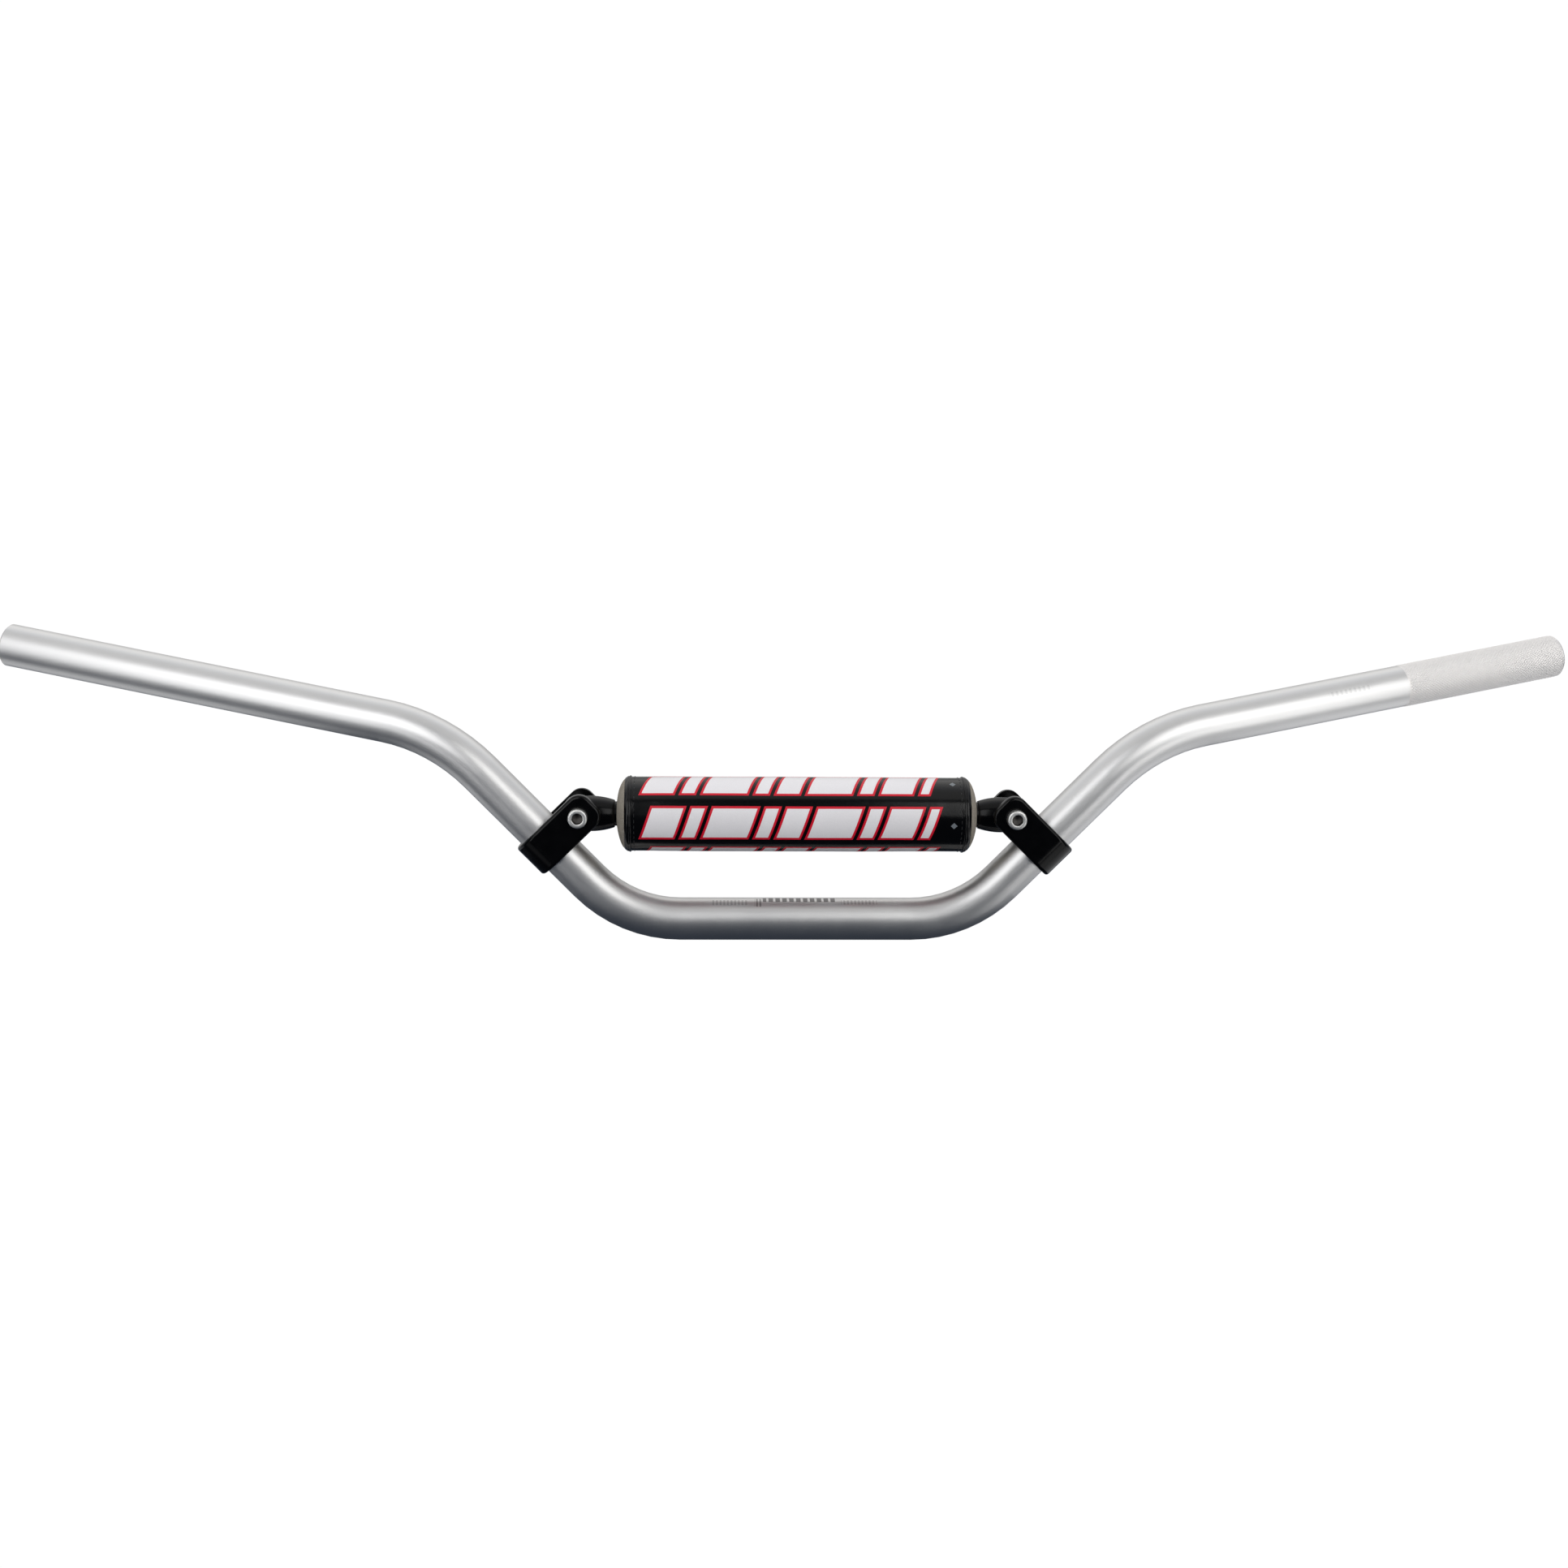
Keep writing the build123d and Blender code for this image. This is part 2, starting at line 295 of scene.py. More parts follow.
def plated_steel(name, colour, roughness):
    """Plated steel, faintly mottled, with a fine grain."""
    material, tree, shader = new_material(name, colour, 1.0, roughness)
    _, _, _, point = object_point(tree)
    mottle = speckle(tree, point, 900, 3)
    feed(tree, shader.inputs["Roughness"], remap(tree, mottle, roughness - 0.06, roughness + 0.08))
    darker = tuple(channel * 0.86 for channel in colour)
    feed(tree, shader.inputs["Base Color"], mix(tree, mottle, darker, colour))
    bump(tree, shader, speckle(tree, point, 6000), 0.2, 0.00003)
    return material


def nylon():
    """Natural nylon locking ring."""
    material, tree, shader = new_material("nylon", (0.72, 0.72, 0.66), 0.0, 0.5)
    _, _, _, point = object_point(tree)
    grain = speckle(tree, point, 1500)
    feed(tree, shader.inputs["Base Color"], mix(tree, grain, (0.66, 0.66, 0.6), (0.76, 0.76, 0.7)))
    bump(tree, shader, grain, 0.2, 0.00005)
    shader.inputs["Subsurface Weight"].default_value = 0.1
    shader.inputs["Subsurface Radius"].default_value = (0.001, 0.001, 0.001)
    return material


def foam_material():
    """Closed-cell foam: matte beige, with painted shade in its open cells."""
    material, tree, shader = new_material("beige_foam", (0.36, 0.33, 0.28), 0.0, 0.95)
    _, _, _, point = object_point(tree)
    pores = cells(tree, point, 1300)
    cloud = speckle(tree, point, 250, 3)
    # Painted shade: the open cells' pits get a darker colour near each cell's middle.
    open_cell_shade = below(tree, pores, 0.28, 0.12)
    base = mix(tree, cloud, (0.29, 0.26, 0.215), (0.38, 0.345, 0.29))
    base = mix(tree, calc(tree, "MULTIPLY", open_cell_shade, 0.55), base, (0.13, 0.115, 0.095))
    feed(tree, shader.inputs["Base Color"], base)
    bump(tree, shader, calc(tree, "MULTIPLY_ADD", cloud, 0.5, pores), 0.6, 0.0003)
    shader.inputs["Specular IOR Level"].default_value = 0.2
    return material


# The print: slanted bars in rows round the pad, each bar white with a red outline. One row
# is centred on the front, at an angle from the rear. The bars start at an x in mm.
PRINT_ROWS = 5
PRINT_FRONT_DEG = 186.3
PRINT_HALF_HEIGHT = 7.95 * MM
PRINT_SLANT = 0.34
PRINT_OUTLINE = 1.25 * MM
PRINT_START = -77.5
# Width of each bar in mm, and the gap after it.
PRINT_BARS = (
    (16, 4.4),
    (6.5, 4.4),
    (22.5, 4.4),
    (6.5, 4.4),
    (11.5, 4.4),
    (22.5, 4.4),
    (6.5, 4.4),
    (16, 4.4),
    (4.2, 0),
)
DOT_X = 80 * MM
DOT_DROP = 0.8 * MM
DOT_HALF = 1.7 * MM


def print_shapes(tree, x, y, z):
    """Signed distances to the bars and to the grey diamond after them: negative inside."""
    turn = cylinder_angle(tree, y, z, CROSSBAR_Z)
    row_offset = 0.5 - PRINT_FRONT_DEG / (360 / PRINT_ROWS)
    rows = calc(tree, "MULTIPLY_ADD", turn, PRINT_ROWS / TAU, row_offset)
    row_share = calc(tree, "SUBTRACT", calc(tree, "FRACT", rows), 0.5)
    upward = calc(tree, "MULTIPLY", row_share, -COVER_RADIUS * TAU / PRINT_ROWS)
    along = calc(tree, "MULTIPLY_ADD", upward, -PRINT_SLANT, x)
    bars = None
    start = PRINT_START
    for width, gap in PRINT_BARS:
        centre = start + width / 2
        bar = bar_shape(tree, along, upward, centre * MM, width / 2 * MM, PRINT_HALF_HEIGHT)
        bars = bar if bars is None else calc(tree, "MINIMUM", bars, bar)
        start += width + gap
    sideways = calc(tree, "ABSOLUTE", calc(tree, "SUBTRACT", x, DOT_X))
    upright = calc(tree, "ABSOLUTE", calc(tree, "ADD", upward, DOT_DROP))
    dot = calc(tree, "SUBTRACT", calc(tree, "ADD", sideways, upright), DOT_HALF)
    return bars, dot


def vinyl(name, printed):
    """Gloss black vinyl with a fine grain, with or without the print."""
    material, tree, shader = new_material(name, (0.001, 0.001, 0.0012), 0.0, 0.17)
    x, y, z, point = object_point(tree)
    grain = cells(tree, point, 1500)
    soft = speckle(tree, point, 120)
    if printed:
        bars, dot = print_shapes(tree, x, y, z)
        white = below(tree, bars, 0.0, 0.06 * MM)
        red = below(tree, bars, PRINT_OUTLINE, 0.08 * MM)
        grey = below(tree, dot, 0.0, 0.06 * MM)
        weave = speckle(tree, point, 1800, 2)
        white_ink = mix(tree, weave, (0.86, 0.84, 0.86), (0.97, 0.95, 0.97))
        base = mix(tree, soft, (0.0007, 0.0007, 0.0008), (0.0016, 0.0016, 0.0018))
        base = mix(tree, red, base, (0.72, 0.008, 0.030))
        base = mix(tree, white, base, white_ink)
        base = mix(tree, grey, base, (0.18, 0.2, 0.22))
        feed(tree, shader.inputs["Roughness"], calc(tree, "MULTIPLY_ADD", red, 0.16, 0.18))
    else:
        base = mix(tree, soft, (0.0008, 0.0008, 0.0009), (0.002, 0.002, 0.0022))
    feed(tree, shader.inputs["Base Color"], base)
    bump(tree, shader, calc(tree, "MULTIPLY_ADD", soft, 0.6, grain), 0.12, 0.0001)
    shader.inputs["Specular IOR Level"].default_value = 0.38
    return material


def woven(name, colour):
    """Woven tape or thread: a fine over-and-under weave with a soft sheen."""
    material, tree, shader = new_material(name, colour, 0.0, 0.85)
    _, _, _, point = object_point(tree)
    wave = tree.nodes.new("ShaderNodeTexWave")
    wave.inputs["Scale"].default_value = 900
    wave.inputs["Distortion"].default_value = 2
    tree.links.new(point, wave.inputs["Vector"])
    lighter = tuple(min(1.0, channel * 2.2) for channel in colour)
    feed(tree, shader.inputs["Base Color"], mix(tree, wave.outputs["Fac"], colour, lighter))
    bump(tree, shader, wave.outputs["Fac"], 0.5, 0.0002)
    shader.inputs["Sheen Weight"].default_value = 0.3
    return material


MATERIALS = {
    "satin_aluminium": aluminium(),
    "knurl": knurled_aluminium(),
    "black_clamp": gloss_black("black_clamp", 0.16),
    "black_crossbar": gloss_black("black_crossbar", 0.2),
    "bright_screw": plated_steel("bright_screw", (0.8, 0.8, 0.78), 0.42),
    # The socket's darker steel is painted shade of the deep socket, with some grease.
    "socket_shade_and_grease": plated_steel("socket_shade_and_grease", (0.09, 0.085, 0.08), 0.5),
    "zinc_steel": plated_steel("zinc_steel", (0.62, 0.62, 0.6), 0.34),
    "spring_steel": plated_steel("spring_steel", (0.2, 0.2, 0.21), 0.35),
    "nylon": nylon(),
    "beige_foam": foam_material(),
    "black_vinyl": vinyl("printed_vinyl", True),
    "plain_vinyl": vinyl("plain_vinyl", False),
    "closure_tape": woven("closure_tape", (0.012, 0.012, 0.014)),
    "thread": woven("thread", (0.008, 0.008, 0.009)),
}


def paint(node, name):
    """Gives a CAD node its finished material."""
    mesh = frame["nodes"][node].data
    mesh.materials.clear()
    mesh.materials.append(MATERIALS[name])


NODE_FINISHES = (
    ("handlebar_tube", "satin_aluminium"),
    ("crossbar_tube", "black_crossbar"),
    ("crossbar_clamp_left", "black_clamp"),
    ("crossbar_clamp_right", "black_clamp"),
    ("crossbar_end_left", "black_crossbar"),
    ("crossbar_end_right", "black_crossbar"),
    ("clamp_washer_left", "zinc_steel"),
    ("clamp_washer_right", "zinc_steel"),
    ("clamp_nut_left", "zinc_steel"),
    ("clamp_nut_right", "zinc_steel"),
    ("nut_insert_left", "nylon"),
    ("nut_insert_right", "nylon"),
    ("crossbar_pin_left", "spring_steel"),
    ("crossbar_pin_right", "spring_steel"),
    ("pad_hook_strip", "closure_tape"),
    ("pad_loop_strip", "closure_tape"),
)
for node_name, finish_name in NODE_FINISHES:
    paint(node_name, finish_name)


# ---------------------------------------------------------------- mesh helpers
def make_mesh(name, points, faces, finish, crease_deg=35):
    """A new object from points and faces, with outward normals and shaded smooth."""
    mesh = bpy.data.meshes.new(name)
    mesh.from_pydata([tuple(map(float, point)) for point in points], [], faces)
    work = bmesh.new()
    work.from_mesh(mesh)
    bmesh.ops.recalc_face_normals(work, faces=work.faces)
    work.to_mesh(mesh)
    work.free()
    mesh.materials.append(MATERIALS[finish])
    mesh.shade_smooth()
    mesh.set_sharp_from_angle(angle=math.radians(crease_deg))
    piece = bpy.data.objects.new(name, mesh)
    bpy.context.scene.collection.objects.link(piece)
    return piece


def grid_faces(rows, columns, wrap_rows=False, wrap_columns=False):
    """Quads over points stored row by row."""
    faces = []
    for row in range(rows if wrap_rows else rows - 1):
        for column in range(columns if wrap_columns else columns - 1):
            next_row = (row + 1) % rows
            next_column = (column + 1) % columns
            faces.append(
                (
                    row * columns + column,
                    row * columns + next_column,
                    next_row * columns + next_column,
                    next_row * columns + column,
                )
            )
    return faces


def turned_solid(name, finish, origin, axis, start_side, stations, columns, crease_deg=35):
    """A closed solid turned about an axis.

    Each station is a distance along the axis and a radius, or one radius for each column.
    The first and last stations are single points on the axis.
    """
    axis = Vector(axis).normalized()
    side = Vector(start_side).normalized()
    other = axis.cross(side)
    angles = [TAU * column / columns for column in range(columns)]
    points = [origin + axis * stations[0][0]]
    for along, radius in stations[1:-1]:
        radii = radius if hasattr(radius, "__len__") else [radius] * columns
        for angle, reach in zip(angles, radii):
            around = side * math.cos(angle) + other * math.sin(angle)
            points.append(origin + axis * along + around * reach)
    points.append(origin + axis * stations[-1][0])
    rings = len(stations) - 2
    faces = [
        tuple(index + 1 for index in face)
        for face in grid_faces(rings, columns, wrap_columns=True)
    ]
    last = len(points) - 1
    for column in range(columns):
        following = (column + 1) % columns
        faces.append((0, 1 + column, 1 + following))
        faces.append((last, last - columns + following, last - columns + column))
    return make_mesh(name, points, faces, finish, crease_deg)


# ---------------------------------------------------------------- knurled grip zone
KNURL_LENGTH = 91.5 * MM
KNURL_END_GAP = 1.0 * MM
KNURL_COUNT = 46
KNURL_ROW = 0.9 * MM
KNURL_VALLEY = TUBE_RADIUS + 0.03 * MM
KNURL_PEAK = TUBE_RADIUS + 0.22 * MM
KNURL_WEAR = 0.03 * MM
KNURL_FOOT = TUBE_RADIUS - 0.01 * MM
KNURL_FLOOR = TUBE_RADIUS - 0.6 * MM


def knurl_sleeve():
    """Diamond knurling rolled into the outer end of the left grip, as pyramids on the tube."""
    start = GRIP_TIP - GRIP_AXIS * KNURL_LENGTH
    other = GRIP_AXIS.cross(GRIP_ACROSS)
    columns = 2 * KNURL_COUNT
    rows = int(round((KNURL_LENGTH - KNURL_END_GAP) / KNURL_ROW))
    points = []

    def ring(along, radii):
        for column, reach in enumerate(radii):
            angle = TAU * column / columns
            around = GRIP_ACROSS * math.cos(angle) + other * math.sin(angle)
            points.append(start + GRIP_AXIS * along + around * reach)

    ring(-0.5 * MM, [KNURL_FLOOR] * columns)
    ring(-0.4 * MM, [KNURL_FOOT] * columns)
    for row in range(rows + 1):
        heights = []
        for column in range(columns):
            peak = (row + column) % 2 == 0 and 0 < row < rows
            wear = KNURL_WEAR * noise.noise(Vector((row * 0.31, column * 0.27, 4.7)))
            heights.append(KNURL_PEAK + wear if peak else KNURL_VALLEY)
        ring(row * KNURL_ROW, heights)
    ring(rows * KNURL_ROW + 0.4 * MM, [KNURL_FOOT] * columns)
    ring(rows * KNURL_ROW + 0.5 * MM, [KNURL_FLOOR] * columns)
    count = len(points) // columns
    faces = []
    for row in range(count):
        for column in range(columns):
            a = row * columns + column
            b = row * columns + (column + 1) % columns
            c = (row + 1) % count * columns + (column + 1) % columns
            d = (row + 1) % count * columns + column
            # Quads are cut along their groove, which joins the two low corners.
            if (row + column) % 2 == 0:
                faces += [(a, b, d), (b, c, d)]
            else:
                faces += [(a, b, c), (a, c, d)]
    piece = make_mesh("grip_knurl", points, faces, "knurl", crease_deg=12)
    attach(piece, "bar_assembly")


knurl_sleeve()


# ---------------------------------------------------------------- cap screws
HEAD_HEIGHT = 6 * MM
HEAD_RIDGE = 0.16 * MM
SOCKET_HALF_FLATS = 2.5 * MM
SOCKET_REACH = 2.9 * MM
SOCKET_LIP = 0.12 * MM
SHANK_RADIUS = 2.96 * MM
THREAD_ROOT = 2.6 * MM
THREAD_PITCH = 1.0 * MM
THREAD_LENGTH = 14 * MM
THREAD_POINT = 0.7 * MM
THREAD_RINGS = 6
SCREW_COLUMNS = 96
SCREW_TURN_DEG = {"left": 12, "right": 40}


def head_stations(top, radius):
    """The head as rings, from the bottom of its hexagon socket out and round to the shank."""
    sixth = TAU / 6
    angles = [TAU * column / SCREW_COLUMNS for column in range(SCREW_COLUMNS)]
    hexagon = [
        SOCKET_HALF_FLATS / math.cos((angle + sixth / 2) % sixth - sixth / 2) for angle in angles
    ]
    ridged = [radius - (HEAD_RIDGE if column % 2 else 0.0) for column in range(SCREW_COLUMNS)]
    return [
        (top + 3.9 * MM, 0),
        (top + 3.4 * MM, 1.2 * MM),
        (top + 3.0 * MM, [reach * 0.995 for reach in hexagon]),
        (top + 0.45 * MM, hexagon),
        (top + 0.10 * MM, [max(reach, 2.86 * MM) + 0.02 * MM for reach in hexagon]),
        (top + 0.04 * MM, 3.05 * MM),
        (top, 3.25 * MM),
        (top, radius - 0.85 * MM),
        (top + 0.08 * MM, radius - 0.55 * MM),
        (top + 0.35 * MM, radius - 0.2 * MM),
        (top + 0.6 * MM, radius - HEAD_RIDGE),
        (top + 0.85 * MM, ridged),
        (top + HEAD_HEIGHT - 0.8 * MM, ridged),
        (top + HEAD_HEIGHT - 0.4 * MM, radius - HEAD_RIDGE),
        (top + HEAD_HEIGHT, radius - 0.2 * MM),
        (top + HEAD_HEIGHT, SHANK_RADIUS + 0.2 * MM),
        (top + HEAD_HEIGHT + 0.3 * MM, SHANK_RADIUS),
    ]


def thread_stations(screw_tip):
    """The thread as rings, from where it fades in on the shank to the chamfered tip."""
    start = screw_tip - THREAD_LENGTH
    ring_step = THREAD_PITCH / THREAD_RINGS
    count = int(round((screw_tip - THREAD_POINT - start) / ring_step))
    stations = [(start - 0.4 * MM, SHANK_RADIUS)]
    for index in range(count + 1):
        fade = min(1.0, index / THREAD_RINGS)
        radii = []
        for column in range(SCREW_COLUMNS):
            phase = (index / THREAD_RINGS - column / SCREW_COLUMNS) % 1.0
            ridge = 1 - abs(2 * phase - 1)
            radii.append(SHANK_RADIUS - (SHANK_RADIUS - THREAD_ROOT) * fade * (1 - ridge))
        stations.append((start + index * ring_step, radii))
    return stations + [
        (screw_tip - 0.45 * MM, THREAD_ROOT),
        (screw_tip - 0.05 * MM, THREAD_ROOT - 0.35 * MM),
        (screw_tip, THREAD_ROOT - 0.6 * MM),
        (screw_tip, 0),
    ]


def cap_screw(label):
    """M6 socket-head cap screw: knurled head, hexagon socket and a real thread."""
    low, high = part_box(f"clamp_screw_{label}")
    centre = Vector(((low.x + high.x) / 2, 0, (low.z + high.z) / 2))
    head_top = low.y
    stations = head_stations(head_top, (high.x - low.x) / 2) + thread_stations(high.y)
    turn = math.radians(SCREW_TURN_DEG[label])
    side = (math.cos(turn), 0, math.sin(turn))
    name = f"cap_screw_{label}"
    piece = turned_solid(
        name, "bright_screw", centre, (0, 1, 0), side, stations, SCREW_COLUMNS, crease_deg=28
    )

    # The socket's walls get a darker steel: painted shade of the deep socket, and some grease.
    piece.data.materials.append(MATERIALS["socket_shade_and_grease"])
    for face in piece.data.polygons:
        reach = math.hypot(face.center.x - centre.x, face.center.z - centre.z)
        if reach < SOCKET_REACH and face.center.y - head_top > SOCKET_LIP:
            face.material_index = 1
    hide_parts(f"clamp_screw_{label}")
    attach(piece, f"{label}_screw")


for side_label, _ in SIDES:
    cap_screw(side_label)


# ---------------------------------------------------------------- crossbar pad
HEM_SWELL = 0.35 * MM
HEM_SWELL_RATE = 1.4
HEM_TUCK = 0.75 * MM


def pad_point(x, radius, angle):
    """A point of the pad; the angle runs from the rear towards the top."""
    return Vector((x, radius * math.cos(angle), CROSSBAR_Z + radius * math.sin(angle)))


def hem_drop(x):
    """How far the folded hem past the piping stands proud (negative) or is drawn in."""
    share = min(1.0, max(0.0, (abs(x) - PIPING_X) / (COVER_HALF - PIPING_X)))
    swell = 0.0
    if share < 1 / HEM_SWELL_RATE:
        swell = HEM_SWELL * math.sin(math.pi * (HEM_SWELL_RATE * share))
    return HEM_TUCK * share ** 3 - swell


# The foam sleeve: its bore, the length of its domed ends and the slit it is fitted through.
FOAM_BORE = 6.65 * MM
FOAM_DOME = 6.0 * MM
FOAM_STRAIGHT = COVER_HALF - 1.2 * MM
FOAM_SLIT_HALF = 0.5 * MM
FOAM_COLUMNS = 150
FOAM_DOME_STEPS = 30
FOAM_OUTER_STEPS = 70
FOAM_BORE_STEPS = 24
CELL_DEPTH = 0.16 * MM
CUT_WANDER = 0.22 * MM


def foam_outline():
    """The sleeve's lengthwise section on one side, as a closed loop of x and radius."""
    steepest = math.asin(math.sqrt(1 - (FOAM_BORE / FOAM_RADIUS) ** 2))
    outer = [
        (-FOAM_STRAIGHT + index * 2 * FOAM_STRAIGHT / FOAM_OUTER_STEPS, FOAM_RADIUS)
        for index in range(FOAM_OUTER_STEPS + 1)
    ]
    dome = [
        (FOAM_STRAIGHT + FOAM_DOME * math.sin(angle), FOAM_RADIUS * math.cos(angle))
        for angle in np.linspace(0.0, steepest, FOAM_DOME_STEPS)
    ]
    end_x = dome[-1][0]
    bore = [
        (end_x - index * 2 * end_x / FOAM_BORE_STEPS, FOAM_BORE)
        for index in range(1, FOAM_BORE_STEPS)
    ]
    left_dome = [(-x, radius) for x, radius in reversed(dome[1:])]
    return outer + dome[1:] + bore + left_dome


def open_cells(spot, x, radius):
    """Sinks a point of the foam's cut end by the depth of the open cells there."""
    if abs(x) > FOAM_STRAIGHT + 0.5 * MM and radius > FOAM_BORE + 0.3 * MM:
        rough = noise.noise(spot * 1400) + 0.6 * noise.noise(spot * 520)
        outward = Vector((math.copysign(0.7, x), spot.y, spot.z - CROSSBAR_Z))
        outward.y /= radius
        outward.z /= radius
        spot += outward.normalized() * min(0.0, rough) * CELL_DEPTH
        spot.x += math.copysign(CUT_WANDER, x) * noise.noise(spot * 90)
    return spot


def foam_core():
    """The foam sleeve: domed ends with open cells, and a slit along the back."""
    loop = foam_outline()
    points = []
    for column in range(FOAM_COLUMNS + 1):
        for x, radius in loop:
            gap = math.asin(FOAM_SLIT_HALF / radius)
            angle = gap + (TAU - 2 * gap) * column / FOAM_COLUMNS
            points.append(open_cells(pad_point(x, radius, angle), x, radius))
    faces = grid_faces(FOAM_COLUMNS + 1, len(loop), wrap_columns=True)
    last = FOAM_COLUMNS * len(loop)
    faces.append(tuple(range(len(loop))))
    faces.append(tuple(last + index for index in reversed(range(len(loop)))))
    piece = make_mesh("foam_core", points, faces, "beige_foam", crease_deg=50)

    # The two walls of the slit are one long outline each, so they are cut into triangles.
    work = bmesh.new()
    work.from_mesh(piece.data)
    walls = [face for face in work.faces if len(face.verts) > 4]
    bmesh.ops.triangulate(work, faces=walls)
    work.to_mesh(piece.data)
    work.free()
    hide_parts("pad_foam")
    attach(piece, "crossbar_pad")
    return piece


# The cover's cut runs round the pad from under the flap, over the front, to the flap's edge.
# The flap steps up over the wrap between the two step angles, and past the flap's ends the
# wrap stops where its two edges meet.
COVER_FIRST = math.radians(408)
COVER_STEP_HIGH = math.radians(64)
COVER_STEP_LOW = math.radians(55)
COVER_MEET = math.radians(48.6)
COVER_LAST = math.radians(-3)
WRAP_RADIUS = COVER_RADIUS - COVER_THICKNESS / 2
FLAP_MIDDLE = FLAP_RADIUS - COVER_THICKNESS / 2

# The cover is held by its seams and by the flap, and is free this far away from them.
SEAM_MARGIN = 1.2 * MM
SEAM_REACH = 14 * MM
HELD_UNDER_FLAP = math.radians(338)
FLAP_REACH = math.radians(14)
PUFF_FRAMES = 20
PUFF_LIMIT = 0.45 * MM
TINY = 1e-9

# Gathers fade out this far from the piping. Slower waves run over the whole of the front.
GATHER_REACH = 5 * MM
GATHER_HEIGHT = 0.55 * MM
WAVE_HEIGHT = 0.13 * MM


def on_flap(x):
    """Whether the flap reaches this far along the pad. Past its ends the wrap's edges meet."""
    return abs(x) < FLAP_HALF + 0.01 * MM


def cover_middle_radius(x, angle):
    """Radius of the cover's middle surface before it is padded out."""
    share = min(1.0, max(0.0, (COVER_STEP_HIGH - angle) / (COVER_STEP_HIGH - COVER_STEP_LOW)))
    eased = share * share * (3 - 2 * share) if on_flap(x) else 0.0
    return WRAP_RADIUS + (FLAP_MIDDLE - WRAP_RADIUS) * eased - hem_drop(x)


def cover_stations():
    """X stations of the cover, closer together past the ends of the flap."""
    inner = list(np.linspace(-FLAP_HALF, FLAP_HALF, 105))
    outer = list(np.linspace(FLAP_HALF, COVER_HALF, 11))[1:]
    return [-x for x in reversed(outer)] + inner + outer


def cover_angles():
    """Angles round the pad, from the edge under the flap to the flap's own edge."""
    return list(np.linspace(COVER_FIRST, COVER_LAST, 91))


def cover_grid(stations, angles):
    """The cover's points before it is padded out, and how free each one is, from 0 to 1."""
    points = []
    free = []
    for angle in angles:
        for x in stations:
            place = angle if on_flap(x) else max(angle, COVER_MEET)
            points.append(pad_point(x, cover_middle_radius(x, angle), place))
            from_seam = max(0.0, PIPING_X - SEAM_MARGIN - abs(x)) / SEAM_REACH
            from_flap = min(angle - COVER_STEP_HIGH, HELD_UNDER_FLAP - angle) / FLAP_REACH
            free.append(min(1.0, from_seam) * min(1.0, max(0.0, from_flap)))
    return np.array([tuple(point) for point in points], float), free


def puff(cloth, base, free):
    """Lets air pressure and stretch shape the cover between its seams, then caps the travel."""
    group = cloth.vertex_groups.new(name="sewn")
    for index, share in enumerate(free):
        group.add([index], 1.0 - share, "REPLACE")
    modifier = cloth.modifiers.new("cover", "CLOTH")
    settings = modifier.settings
    settings.quality = 6
    settings.mass = 0.0005
    settings.tension_stiffness = 1.2
    settings.compression_stiffness = 1.2
    settings.shear_stiffness = 0.6
    settings.bending_stiffness = 0.1
    settings.vertex_group_mass = "sewn"
    settings.pin_stiffness = 30
    settings.use_pressure = True
    settings.uniform_pressure_force = 150
    settings.effector_weights.gravity = 0
    modifier.collision_settings.use_collision = False
    modifier.collision_settings.use_self_collision = False
    modifier.point_cache.frame_start = 1
    modifier.point_cache.frame_end = PUFF_FRAMES
    scene = bpy.context.scene
    for number in range(1, PUFF_FRAMES + 1):
        scene.frame_set(number)
    graph = bpy.context.evaluated_depsgraph_get()
    shaped = cloth.evaluated_get(graph).to_mesh()
    moved = np.array([vertex.co for vertex in shaped.vertices], float)
    cloth.evaluated_get(graph).to_mesh_clear()
    cloth.modifiers.remove(modifier)
    cloth.vertex_groups.remove(group)
    scene.frame_set(1)
    travel = moved - base
    distance = np.linalg.norm(travel, axis=1)
    travel *= min(1.0, PUFF_LIMIT / max(TINY, float(np.percentile(distance, 99))))
    distance = np.linalg.norm(travel, axis=1)
    travel *= np.minimum(1.0, PUFF_LIMIT / np.maximum(distance, TINY))[:, None]
    return base + travel


def wrinkled(point, free):
    """A point of the padded cover with gathers by the piping and slow waves elsewhere."""
    x, y, z = point
    radius = math.hypot(y, z - CROSSBAR_Z)
    angle = math.atan2(z - CROSSBAR_Z, y)
    from_piping = max(0.0, PIPING_X - abs(x))
    ripple = math.exp(-from_piping / GATHER_REACH) * free ** 0.3 if free > 0 else 0.0
    end = math.copysign(7, x)
    gather = noise.noise(Vector((math.cos(angle) * 3.4, math.sin(angle) * 3.4, end)))
    wave = noise.noise(Vector((x * 26, math.cos(angle) * 1.1, math.sin(angle) * 1.1)))
    push = GATHER_HEIGHT * ripple * gather + WAVE_HEIGHT * wave * min(1.0, 3 * free)
    return pad_point(x, radius + push, angle)


